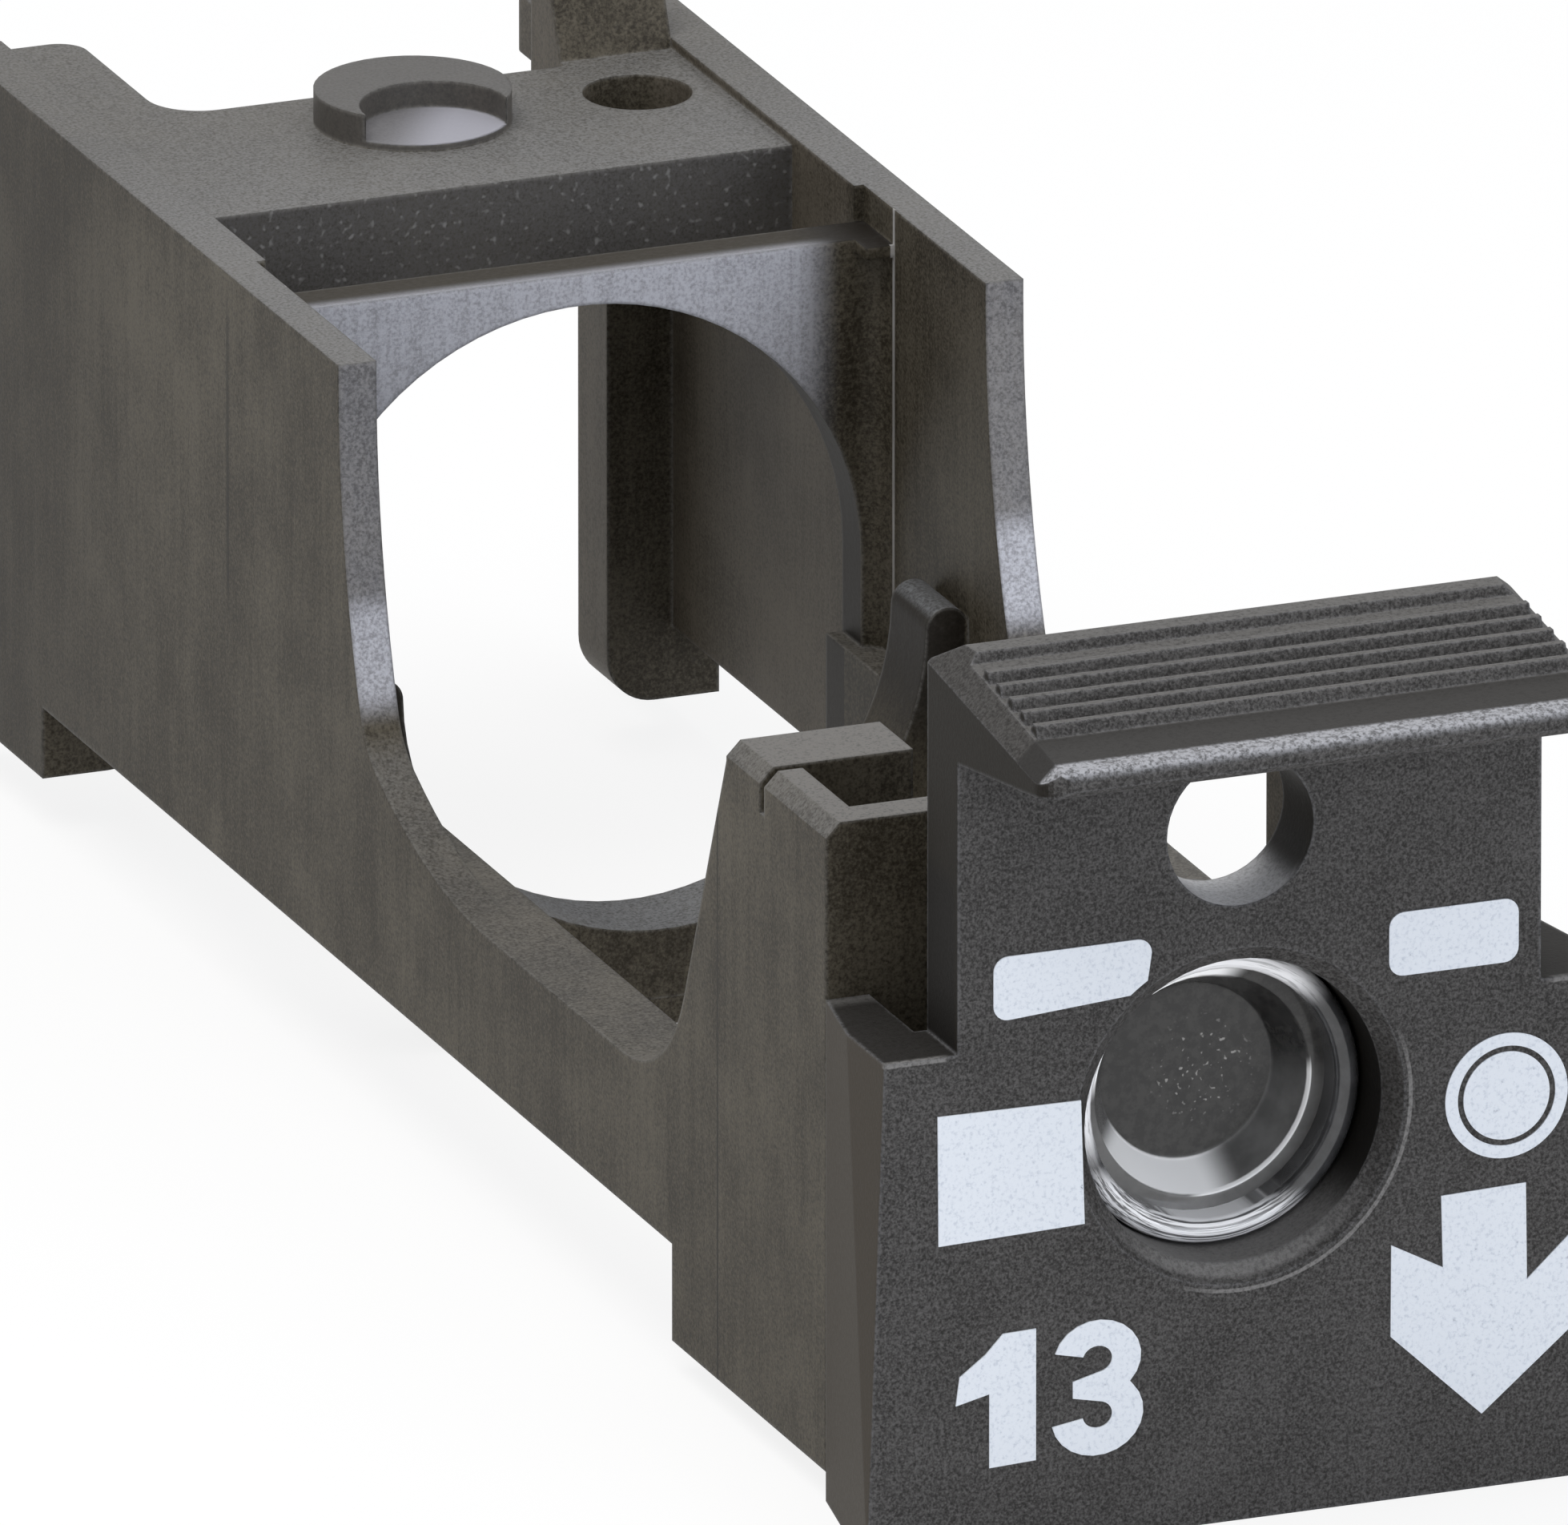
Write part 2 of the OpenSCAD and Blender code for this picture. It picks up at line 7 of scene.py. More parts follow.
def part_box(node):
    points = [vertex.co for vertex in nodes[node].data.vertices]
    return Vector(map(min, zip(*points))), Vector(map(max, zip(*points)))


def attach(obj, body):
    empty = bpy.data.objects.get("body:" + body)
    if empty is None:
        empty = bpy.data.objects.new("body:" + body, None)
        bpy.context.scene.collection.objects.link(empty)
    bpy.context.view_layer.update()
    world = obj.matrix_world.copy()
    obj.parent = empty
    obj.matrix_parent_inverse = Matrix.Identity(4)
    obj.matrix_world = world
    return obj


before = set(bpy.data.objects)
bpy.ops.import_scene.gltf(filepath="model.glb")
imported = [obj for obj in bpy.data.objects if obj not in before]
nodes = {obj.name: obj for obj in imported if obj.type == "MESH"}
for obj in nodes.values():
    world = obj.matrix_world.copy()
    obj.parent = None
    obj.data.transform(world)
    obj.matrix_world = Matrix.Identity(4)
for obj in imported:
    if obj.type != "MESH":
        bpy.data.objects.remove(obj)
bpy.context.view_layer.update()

mm = 0.001
even = (1.0, 1.0, 1.0)  # a noise that isn't stretched
# the last entry of edges is where the painted edge highlight starts and where it is full
edges = {"radius": 0.13, "samples": 6, "edgeGlint": (0.01, 0.16)}  # rounding that the shader gives every edge
eye = {"x": -0.2, "z": 8.3}  # axis of the sight glass


# Shader maths: a Wire holds one socket, so that an expression on values adds its Math nodes

class Wire:
    def __init__(self, graph, socket):
        self.graph = graph
        self.socket = socket

    def __add__(self, other): return self.graph.maths("ADD", self, other)
    def __radd__(self, other): return self.graph.maths("ADD", other, self)
    def __sub__(self, other): return self.graph.maths("SUBTRACT", self, other)
    def __rsub__(self, other): return self.graph.maths("SUBTRACT", other, self)
    def __mul__(self, other): return self.graph.maths("MULTIPLY", self, other)
    def __rmul__(self, other): return self.graph.maths("MULTIPLY", other, self)
    def __pow__(self, other): return self.graph.maths("POWER", self, other)


# In the looks below, two numbers are where a mask starts and where it is full, and two more are its levels there.
# Three numbers are the ends of a band and the softness of its sides. Places are in millimetres.

class Graph:
    def __init__(self, owner, look):
        owner.use_nodes = True
        self.owner = owner
        self.look = look
        self.tree = owner.node_tree
        self.shader = self.tree.nodes.get("Principled BSDF")

    def feed(self, socket, value):
        if isinstance(value, Wire):
            self.tree.links.new(value.socket, socket)
        else:
            socket.default_value = value

    def node(self, kind, settings=None, inputs=None, output=0):
        made = self.tree.nodes.new(kind)
        for key, value in (settings or {}).items():
            setattr(made, key, value)
        for key, value in (inputs or {}).items():
            self.feed(made.inputs[key], value)
        return Wire(self, made.outputs[output])

    def set(self, **values):
        for key, value in values.items():
            self.feed(self.shader.inputs[key.replace("_", " ")], value)

    def maths(self, operation, first, second):
        return self.node("ShaderNodeMath", {"operation": operation}, {0: first, 1: second})

    def most(self, first, second):
        return self.maths("MAXIMUM", first, second)

    def absolute(self, value):
        return self.maths("ABSOLUTE", value, 0.0)

    def length(self, first, second):
        return (first * first + second * second) ** 0.5

    def fit(self, value, low, high, toLow=0.0, toHigh=1.0):
        return self.node("ShaderNodeMapRange", {"interpolation_type": "SMOOTHSTEP"},
                         {0: value, 1: low, 2: high, 3: toLow, 4: toHigh})

    def on(self, value, name):
        # a mask from the two, three or four numbers of that name
        span = self.look[name]
        if len(span) != 3:
            return self.fit(value, *span)
        low, high, soft = span
        return self.fit(value, low - soft, low) * self.fit(value, high + soft, high)

    def share(self, mask, name):
        # from the first number to the second as the mask goes from 0 to 1
        low, high = self.look[name]
        return low + mask * (high - low)

    def weigh(self, name, *values):
        parts = [value * weight for value, weight in zip(values, self.look[name])]
        return sum(parts[1:], parts[0])

    def mix(self, factor, first, second):
        # first and second are colours, or names of colours in the dictionary
        first, second = (self.look[colour] if isinstance(colour, str) else colour for colour in (first, second))
        return self.node("ShaderNodeMix", {"data_type": "RGBA"}, {0: factor, 6: first, 7: second}, 2)

    def noise(self, place, name, stretch=even):
        # the numbers of that name are the noise's scale, detail and roughness
        scale, detail, rough = self.look[name]
        moved = self.node("ShaderNodeMapping", {}, {0: place, 3: stretch})
        return self.node("ShaderNodeTexNoise", {},
                         {"Vector": moved, "Scale": scale, "Detail": detail, "Roughness": rough})

    def bump(self, height, normal=None):
        strength, depth = self.look["bump"]
        inputs = {"Strength": strength, "Distance": depth * mm, "Height": height}
        if normal:
            inputs["Normal"] = normal
        return self.node("ShaderNodeBump", {}, inputs)

    def split(self, vector):
        parts = self.node("ShaderNodeSeparateXYZ", {}, {0: vector}).socket.node.outputs
        return [Wire(self, part) for part in parts]


def startMaterial(name, look):
    return Graph(bpy.data.materials.new(name), look)


def placeOn(g):
    # where a point of the surface lies, in millimetres
    coords = g.node("ShaderNodeTexCoord", output=3)
    return g.node("ShaderNodeVectorMath", {"operation": "SCALE"}, {0: coords, 3: 1 / mm})


def facingOn(g):
    # which way the surface looks
    return g.node("ShaderNodeTexCoord", output=1)


def roundedOn(g):
    # the surface's normal, turned smoothly over each edge
    return g.node("ShaderNodeBevel", {"samples": edges["samples"]}, {"Radius": edges["radius"] * mm})


def edgeOn(g, rounded):
    # how near an edge is, by how far the rounded normal turns away from the flat one; this places the painted edge
    # highlight
    flat = g.node("ShaderNodeNewGeometry", output=1)
    along = g.node("ShaderNodeVectorMath", {"operation": "DOT_PRODUCT"}, {0: rounded, 1: flat}, 1)
    return g.fit(1.0 - along, *edges["edgeGlint"])


def aroundEye(g, x, z):
    # distance from the sight glass's axis, and its parts across and up
    across = x - eye["x"]
    above = z - eye["z"]
    return g.length(across, above), across, above


def addMesh(name, mesh, material):
    data = bpy.data.meshes.new(name)
    mesh.to_mesh(data)
    mesh.free()
    data.materials.append(material)
    piece = bpy.data.objects.new(name, data)
    bpy.context.scene.collection.objects.link(piece)
    return piece


# Moulded plastic of the drawer's frame: brown-black, satin, with fine grain and drawn streaks

framePlastic = {
    # painted light and shade among these colours: the lighter inner walls, the tops, the seat, the post tops, the
    # dish, the bluish glint and the edge and seam highlights are painted light; the lip is painted shade, and the
    # darkest colour is painted shade as well as dark moulding lines
    "dark": (0.020, 0.016, 0.010, 1), "light": (0.088, 0.077, 0.057, 1), "inner": (0.125, 0.108, 0.085, 1),
    "lineAndShade": (0.012, 0.010, 0.008, 1), "top": (0.162, 0.162, 0.162, 1), "seat": (0.21, 0.22, 0.235, 1),
    "litPostTop": (0.138, 0.131, 0.122, 1), "lip": (0.082, 0.079, 0.077, 1), "glintAndPolish": (0.46, 0.47, 0.52, 1),
    "dish": (0.33, 0.33, 0.37, 1), "edge": (0.17, 0.165, 0.155, 1), "seam": (0.42, 0.41, 0.40, 1),
    "speck": (0.42, 0.42, 0.41, 1),

    "rough": 0.52, "roughSpread": 0.2, "polishedRough": 0.36, "gloss": 0.145, "bump": (0.5, 0.010),
    "patches": (0.35, 4.0, 0.55), "streaks": (1.6, 4.0, 0.65), "streakStretch": (2.2, 2.2, 0.12),
    "grain": (9.0, 3.0, 0.7), "fine": (16.0, 2.0, 0.6), "specks": (6.5, 1.0, 0.3),
    "toneOf": (0.25, 0.13, 0.32, 0.3), "tone": (0.39, 0.62), "speckledOf": (0.6, 0.4), "speckled": (0.34, 0.64),
    "streakHeight": 0.4, "sideways": (0.5, 0.8), "upward": (0.45, 0.9), "frontward": (0.25, 0.8),
    "outerX": (7.2, 7.24), "speckShow": (0.6, 0.8, 0.0, 0.3), "speckLeast": 0.05,

    "behindY": (13.4, 13.8), "behindX": (6.9, 6.7), "behindShare": (0.25, 0.75), "rearY": (14.0, 26.0, 0.0, 0.4),
    "hornY": (7.5, 9.65, 0.05), "hornZ": (4.0, 6.5), "hornX": (6.4, 6.34), "hornDark": 0.85, "hornTop": 0.6,
    "topShare": (0.35, 1.0), "topZ": (4.5, 13.0, 0.3, 1.0), "topY": (15.0, 23.0, 1.0, 0.72),
    "seatY": (7.6, 9.55, 0.05), "seatZ": (8.2, 7.8), "seatShare": (0.2, 0.7),
    "postUp": (0.6, 0.9), "postZ": (13.7, 14.0, 0.1), "postY": (-13.0, -14.0),
    "lipY": (16.525, 16.725, 0.05), "halfShare": (0.5, 1.0),

    "wallEdgeX": (6.3, 6.5), "wallEdgeY": (5.0, 7.5, 1.5), "wallEdgeTop": (10.5, 9.8, 0.32, 1.0),
    "wallEdgeFoot": (7.8, 8.6), "leftX": (5.6, 4.5), "bulkheadY": (11.825, 12.325, 0.2),
    "bulkheadZ": (7.5, 13.8, 0.05, 1.0), "brushedOf": (0.6, 0.4), "glintStreaks": (0.3, 0.62, 0.55, 1.0),
    "bulkheadShine": 0.85, "archY": (12.3, 13.275, 0.03), "archAway": (0.5, 0.2), "archUnder": (0.3, 0.0),
    "archX": (6.3, 6.2), "archDark": 0.85, "ridgeY": (11.625, 13.275, 0.02), "ridgeZ": (14.1, 14.4, 0.1),
    "ridgeShineY": (12.7, 11.95), "ridgeShare": (0.7, 1.0),

    "bossX": -0.2, "bossY": 20.825, "bossR": (2.03, 2.0), "bossZ": (14.8, 14.84), "bossShow": 0.6,
    "dishY": 19.625, "dishR": (1.51, 1.49), "dishZ": (14.94, 14.96, 0.01), "dishSlant": 0.6,
    "dishLit": (-1.2, 0.4, 0.2, 0.9),

    "nubX": (5.1, 5.4), "nubY": (11.3, 13.5, 0.1), "nubZ": (12.9, 13.2), "wornOf": (0.4, 0.6),
    "edgeGlint": (0.35, 0.65, 0.1, 0.7), "seamY": (11.605, 11.685, 0.03), "seamX": (6.38, 6.46, 0.02),
    "seamShow": (0.3, 0.6, 0.4, 0.8), "frontLineY": (-13.63, -13.57, 0.03), "rearLineY": (12.76, 12.86, 0.04),
    "rearLineZ": (8.6, 13.8, 0.8), "lineShow": (0.3, 0.6, 0.5, 0.9),
}


def makeFramePlastic(look):
    g = startMaterial("framePlastic", look)
    place = placeOn(g)
    x, y, z = g.split(place)
    nx, ny, nz = g.split(facingOn(g))
    rounded = roundedOn(g)
    outward = g.absolute(x)
    patches = g.noise(place, "patches")
    streaks = g.noise(place, "streaks", look["streakStretch"])
    grain = g.noise(place, "grain")
    fine = g.noise(place, "fine")
    specks = g.noise(place, "specks")
    tone = g.on(g.weigh("toneOf", patches, streaks, grain, fine), "tone")
    speckled = g.on(g.weigh("speckledOf", fine, grain), "speckled")
    body = g.mix(tone, "dark", "light")

    # painted light on the inner walls behind the bulkhead, outer walls darker towards the rear, and painted shade
    # on the saddle's tips deep between the walls
    behind = g.on(y, "behindY") * g.on(outward, "behindX") * g.on(g.absolute(nx), "sideways")
    body = g.mix(behind * g.share(tone, "behindShare"), body, "inner")
    rear = g.on(outward, "outerX") * g.on(y, "rearY")
    horn = g.on(y, "hornY") * g.on(z, "hornZ") * g.on(outward, "hornX")
    body = g.mix(g.most(rear, horn * look["hornDark"]), body, "lineAndShade")

    # painted light on upward faces, fading lower down and towards the rear; a painted sheen on the saddle's seat
    # and painted light on the tops of the front posts
    upward = g.on(nz, "upward")
    upper = upward * g.share(speckled, "topShare") * g.on(z, "topZ") * g.on(y, "topY")
    body = g.mix(upper * (1.0 - horn * look["hornTop"]), body, "top")
    seat = upward * g.on(y, "seatY") * g.on(z, "seatZ")
    body = g.mix(seat * g.share(speckled, "seatShare"), body, "seat")
    postTop = g.on(nz, "postUp") * g.on(z, "postZ") * g.on(y, "postY")
    body = g.mix(postTop * speckled, body, "litPostTop")

    # front faces: painted shade on the deck's lip, and a painted bluish reflection, streaked, on the front edges of
    # the windows and on the bulkhead
    frontward = g.on(0.0 - ny, "frontward")
    lip = frontward * g.on(y, "lipY")
    body = g.mix(lip * g.share(speckled, "halfShare"), body, "lip")
    wallEdge = g.on(outward, "wallEdgeX") * g.on(y, "wallEdgeY") * g.share(speckled, "halfShare")
    wallEdge = wallEdge * g.on(z, "wallEdgeTop") * g.on(z, "wallEdgeFoot")
    left = g.on(x, "leftX")
    glintStreaks = g.on(g.weigh("brushedOf", fine, streaks), "glintStreaks")
    bulkhead = g.on(y, "bulkheadY") * g.on(z, "bulkheadZ") * glintStreaks * left
    glintAndPolish = frontward * g.most(wallEdge, bulkhead * look["bulkheadShine"])
    body = g.mix(glintAndPolish, body, "glintAndPolish")

    # painted shade inside the arch, and on the ridge over it painted shade at the rear and a painted highlight
    # along its front
    away = g.on(g.absolute(ny), "archAway") * g.on(nz, "archUnder")
    arch = g.on(y, "archY") * away * g.on(outward, "archX")
    body = g.mix(arch * look["archDark"], body, "lineAndShade")
    ridge = upward * g.on(y, "ridgeY") * g.on(z, "ridgeZ")
    ridgeShine = g.on(y, "ridgeShineY") * left * g.share(speckled, "ridgeShare")
    body = g.mix(ridge, body, g.mix(ridgeShine, g.mix(left, "lineAndShade", "dark"), "glintAndPolish"))

    # boss on the deck in painted shade, and a painted sheen on its dish
    side = x - look["bossX"]
    boss = g.on(g.length(side, y - look["bossY"]), "bossR") * g.on(z, "bossZ")
    body = g.mix(boss * look["bossShow"], body, "lip")
    dishBack = y - look["dishY"]
    dish = g.on(g.length(side, dishBack), "dishR") * g.on(z, "dishZ")
    body = g.mix(dish * g.on(side - dishBack * look["dishSlant"], "dishLit"), body, "dish")

    # painted highlight along the edges but not on the bulkhead's nub, a painted highlight on the parting line, dark
    # moulding lines and pale specks
    nub = g.on(x, "nubX") * g.on(y, "nubY") * g.on(z, "nubZ")
    edgeGlint = edgeOn(g, rounded) * g.on(g.weigh("wornOf", streaks, grain), "edgeGlint") * (1.0 - nub)
    body = g.mix(edgeGlint, body, "edge")
    seam = g.on(y, "seamY") * g.on(outward, "seamX")
    body = g.mix(seam * g.on(streaks, "seamShow"), body, "seam")
    lines = g.on(y, "frontLineY") + g.on(y, "rearLineY") * g.on(z, "rearLineZ")
    body = g.mix(lines * g.on(outward, "outerX") * g.on(streaks, "lineShow"), body, "lineAndShade")
    body = g.mix(g.on(specks, "speckShow") * g.most(lip, look["speckLeast"]), body, "speck")

    # roughness is lower where the bluish reflection is painted, as those places are glossier
    rough = look["rough"] + (grain - 0.5) * look["roughSpread"] - glintAndPolish * (look["rough"] - look["polishedRough"])
    bump = g.bump(grain + streaks * look["streakHeight"], rounded)
    g.set(Base_Color=body, Roughness=rough, Normal=bump, Specular_IOR_Level=look["gloss"])
    return g.owner


# Black plastic of the front plate: matt and fine-grained, with painted highlights on its edges and along the grip's
# nose

platePlastic = {
    # painted light and shade among these colours: top, recess, bore, edge and nose are painted light; side and
    # flank are painted shade, the flank warmer
    "dark": (0.022, 0.021, 0.020, 1), "light": (0.090, 0.087, 0.085, 1), "top": (0.12, 0.117, 0.113, 1),
    "side": (0.010, 0.008, 0.005, 1), "flank": (0.046, 0.038, 0.028, 1), "shade": (0.010, 0.009, 0.008, 1),
    "recess": (0.20, 0.195, 0.19, 1), "bore": (0.62, 0.62, 0.63, 1), "edge": (0.17, 0.17, 0.175, 1),
    "nose": (0.33, 0.335, 0.355, 1),

    "rough": 0.58, "roughSpread": 0.25, "noseSmooth": 0.2, "gloss": 0.1, "bump": (0.55, 0.014),
    "grain": (11.0, 3.0, 0.75), "fine": (19.0, 2.0, 0.6), "patches": (0.6, 3.0, 0.55),
    "toneOf": (0.5, 0.4, 0.1), "tone": (0.38, 0.64), "sideways": (0.6, 0.9), "upward": (0.6, 0.95),
    "topGrain": (0.25, 0.65, 0.25, 1.0), "sideShow": 0.9, "flankX": (6.5, 7.0),

    "insideR": (3.6, 3.5), "insideY": (-23.22, -23.1), "insideUp": (0.3, 0.8, 0.0, 0.9),
    "insideGrain": (0.3, 0.7, 0.5, 1.0), "holeX": -0.2, "holeZ": 14.15, "boreR": (1.5, 1.56, 0.02),
    "boreUp": (0.5, 0.95), "boreGrain": (0.3, 0.6, 0.6, 1.0), "shelfR": (3.6, 3.7), "shelfZ": (10.9, 10.5),
    "shelfY": (-19.45, -19.9, 0.2, 0.9), "cheekX": (6.6, 6.4), "cheekZ": (14.1, 13.5),
    "cheekY": (-23.2, -23.0, 0.3, 0.95),

    "edgeGlint": (0.3, 0.65, 0.15, 0.8), "faceY": (-23.1, -23.24), "rimR": (3.54, 3.6, 0.02), "rimSide": (1.5, 3.5),
    "shoulderZ": (10.22, 10.3, 0.03), "shoulderX": (6.2, 6.4), "rimGrain": (0.3, 0.6, 0.3, 0.8),
    "stripY": (-26.25, -26.4), "stripUp": (0.2, 0.6), "stripShow": 0.8, "noseY": (-27.8, -27.5, 0.14),
    "noseUp": (0.1, 0.5), "noseGrain": (0.35, 0.6, 0.25, 1.0),
}


def makePlatePlastic(look):
    g = startMaterial("platePlastic", look)
    place = placeOn(g)
    x, y, z = g.split(place)
    nx, ny, nz = g.split(facingOn(g))
    rounded = roundedOn(g)
    outward = g.absolute(x)
    sideways = g.on(g.absolute(nx), "sideways")
    upward = g.on(nz, "upward")
    grain = g.noise(place, "grain")
    patches = g.noise(place, "patches")
    fine = g.noise(place, "fine")
    body = g.mix(g.on(g.weigh("toneOf", grain, fine, patches), "tone"), "dark", "light")
    # painted light on upward faces, and painted shade on sideways faces, warmer on the outer flanks
    body = g.mix(upward * g.on(grain, "topGrain"), body, "top")
    body = g.mix(sideways * look["sideShow"], body, g.mix(g.on(outward, "flankX"), "side", "flank"))

    # painted light on the floor of the eye's recess and in the probe hole
    radius, across, above = aroundEye(g, x, z)
    inside = g.on(radius, "insideR") * g.on(y, "insideY")
    body = g.mix(inside * g.on(nz, "insideUp") * g.on(grain, "insideGrain"), body, "recess")
    bore = g.on(g.length(x - look["holeX"], z - look["holeZ"]), "boreR")
    body = g.mix(bore * g.on(nz, "boreUp") * g.on(grain, "boreGrain"), body, "bore")

    # shaded shelf behind the shoulders and shaded cheeks beside the posts
    shelf = upward * g.on(radius, "shelfR") * g.on(z, "shelfZ")
    body = g.mix(shelf * g.on(y, "shelfY"), body, "shade")
    cheek = sideways * g.on(outward, "cheekX") * g.on(z, "cheekZ")
    body = g.mix(cheek * g.on(y, "cheekY"), body, "shade")

    # painted highlights on the edges, on the rims of the recess and of the shoulders and along the grip's nose, and
    # a darker strip on the grip
    body = g.mix(edgeOn(g, rounded) * g.on(grain, "edgeGlint"), body, "edge")
    rim = g.on(radius, "rimR") * g.on(y, "faceY") * g.on(across - above, "rimSide")
    shoulder = g.on(z, "shoulderZ") * g.on(y, "faceY") * g.on(outward, "shoulderX")
    body = g.mix(g.most(rim, shoulder) * g.on(grain, "rimGrain"), body, "recess")
    strip = g.on(y, "stripY") * g.on(nz, "stripUp")
    body = g.mix(strip * look["stripShow"], body, "dark")
    nose = g.on(y, "noseY") * g.on(nz, "noseUp") * g.on(grain, "noseGrain")
    body = g.mix(nose, body, "nose")

    rough = look["rough"] + (grain - 0.5) * look["roughSpread"] - nose * look["noseSmooth"]
    g.set(Base_Color=body, Roughness=rough, Normal=g.bump(grain, rounded), Specular_IOR_Level=look["gloss"])
    return g.owner


# Sight glass: smoke-dark and glossy, with dust on its floor and a painted reflection on its lower wall

glassLook = {
    "dark": (0.018, 0.0175, 0.017, 1), "mottled": (0.034, 0.033, 0.031, 1), "dusty": (0.36, 0.35, 0.33, 1),
    "wall": (0.15, 0.148, 0.144, 1), "bright": (1.0, 1.0, 0.99, 1),

    "rough": 0.13, "roughHaze": (0.4, 0.7, 0.0, 0.12), "gloss": 0.3, "coat": 0.4, "coatRough": 0.08,
    "dust": (10.0, 1.0, 0.4), "haze": (1.3, 3.0, 0.55), "mottle": (4.0, 4.0, 0.7),

    "cupR": (1.76, 1.82), "mottleShow": (0.4, 0.62), "wallHaze": (0.3, 0.7, 0.6, 1.0), "wallUp": (0.6, -0.8),
    "belowUp": (-0.7, -1.2), "belowSide": (0.9, 0.1), "belowR": (2.25, 2.22), "upperSlant": 0.7,
    "upperUp": (1.5, 2.1), "upperR": (2.13, 2.19), "litSide": (1.9, 2.3), "litR": (2.22, 2.27, 0.02),
    "litShow": 0.8, "dustX": 0.35, "dustR": (1.3, 0.6), "dustShow": (0.66, 0.76, 0.0, 0.8),
}


def makeSightGlass(look):
    g = startMaterial("sightGlass", look)
    place = placeOn(g)
    x, y, z = g.split(place)
    dust = g.noise(place, "dust")
    haze = g.noise(place, "haze")
    mottle = g.noise(place, "mottle")
    radius, across, above = aroundEye(g, x, z)
    cup = g.on(radius, "cupR")
    body = g.mix(g.on(mottle, "mottleShow"), "dark", "mottled")
    # painted reflection on the lower part of the cup's wall
    body = g.mix(cup * g.on(haze, "wallHaze") * g.on(above, "wallUp"), body, "wall")

    # painted highlights: a bright crescent at the lower left, and glints on the rim at the upper left and lower
    # right
    below = g.on(above, "belowUp") * g.on(across, "belowSide") * cup * g.on(radius, "belowR")
    body = g.mix(below, body, "bright")
    upper = g.on(above - across * look["upperSlant"], "upperUp") * g.on(radius, "upperR")
    body = g.mix(upper, body, "bright")
    lit = g.on(across - above, "litSide") * g.on(radius, "litR")
    body = g.mix(lit * look["litShow"], body, "bright")
    near = g.length(across - look["dustX"], above)
    body = g.mix(g.on(dust, "dustShow") * g.on(near, "dustR"), body, "dusty")

    g.set(Base_Color=body, Roughness=look["rough"] + g.on(haze, "roughHaze"), Normal=roundedOn(g),
          Specular_IOR_Level=look["gloss"], Coat_Weight=look["coat"], Coat_Roughness=look["coatRough"])
    return g.owner


# Ring in front of the glass: polished black, with broken bands of painted highlight at the upper and lower left

ringLook = {
    "dark": (0.035, 0.035, 0.036, 1), "soft": (0.06, 0.06, 0.062, 1), "bright": (0.95, 0.95, 0.96, 1),

    "rough": 0.16, "roughSpread": 0.1, "coat": 0.4, "coatRough": 0.1, "smear": (2.0, 3.0, 0.55),
    "smearShow": (0.35, 0.7), "bands": (3.0, 3.0, 0.65), "bandStretch": (6.0, 0.6),

    "upperSlant": 0.6, "upper": (0.2, 1.4), "upperBands": (0.36, 0.5, 0.55, 1.0),
    "lowerSlant": 0.25, "lower": (1.6, 2.3), "lowerBands": (0.42, 0.56, 0.08, 1.0),
}


def makeRing(look):
    g = startMaterial("glassRing", look)
    place = placeOn(g)
    x, y, z = g.split(place)
    smear = g.noise(place, "smear")
    body = g.mix(g.on(smear, "smearShow"), "dark", "soft")
    radius, across, above = aroundEye(g, x, z)
    perRadius, perHeight = look["bandStretch"]
    bands = g.noise(g.node("ShaderNodeCombineXYZ", {}, {0: radius * perRadius, 1: above * perHeight}), "bands")
    # painted highlights in broken bands at the upper and lower left
    upperLeft = g.on(above - across * look["upperSlant"], "upper") * g.on(bands, "upperBands")
    lowerLeft = g.on(0.0 - above - across * look["lowerSlant"], "lower") * g.on(bands, "lowerBands")
    body = g.mix(g.most(upperLeft, lowerLeft), body, "bright")
    g.set(Base_Color=body, Roughness=look["rough"] + smear * look["roughSpread"],
          Coat_Weight=look["coat"], Coat_Roughness=look["coatRough"])
    return g.owner


# White pad print: slightly rough, with a few pinholes

printLook = {
    "white": (0.64, 0.675, 0.72, 1), "thin": (0.5, 0.54, 0.6, 1), "hole": (0.2, 0.21, 0.23, 1),

    "rough": 0.6, "roughSpread": 0.1, "gloss": 0.3, "bump": (0.4, 0.01),
    "grain": (9.0, 3.0, 0.7), "blots": (13.0, 2.0, 0.6), "inkOf": (0.5, 0.5), "ink": (0.34, 0.52),
    "pinholesOf": (0.7, 0.3), "pinholes": (0.335, 0.3),
}


def makeWhitePrint(look):
    g = startMaterial("whitePrint", look)
    place = placeOn(g)
    grain = g.noise(place, "grain")
    blots = g.noise(place, "blots")
    body = g.mix(g.on(g.weigh("inkOf", grain, blots), "ink"), "thin", "white")
    body = g.mix(g.on(g.weigh("pinholesOf", grain, blots), "pinholes"), body, "hole")
    g.set(Base_Color=body, Roughness=look["rough"] + grain * look["roughSpread"], Normal=g.bump(grain),
          Specular_IOR_Level=look["gloss"])
    return g.owner


looks = {
    "drawer_frame": makeFramePlastic(framePlastic),
    "front_plate": makePlatePlastic(platePlastic),
    "sight_glass": makeSightGlass(glassLook),
    "glass_ring": makeRing(ringLook),
}
for name, material in looks.items():
    for slot in nodes[name].material_slots:
        slot.material = material
print("materials on the CAD nodes:", len(looks))


# Foot of the saddle's keel: a low strip along its underside, rounded at its lower edges

keel = {"halfTop": 4.4, "halfFoot": 4.0, "y": (7.63, 9.52), "z": (0.0, 0.7), "bevel": 0.12, "segments": 4}


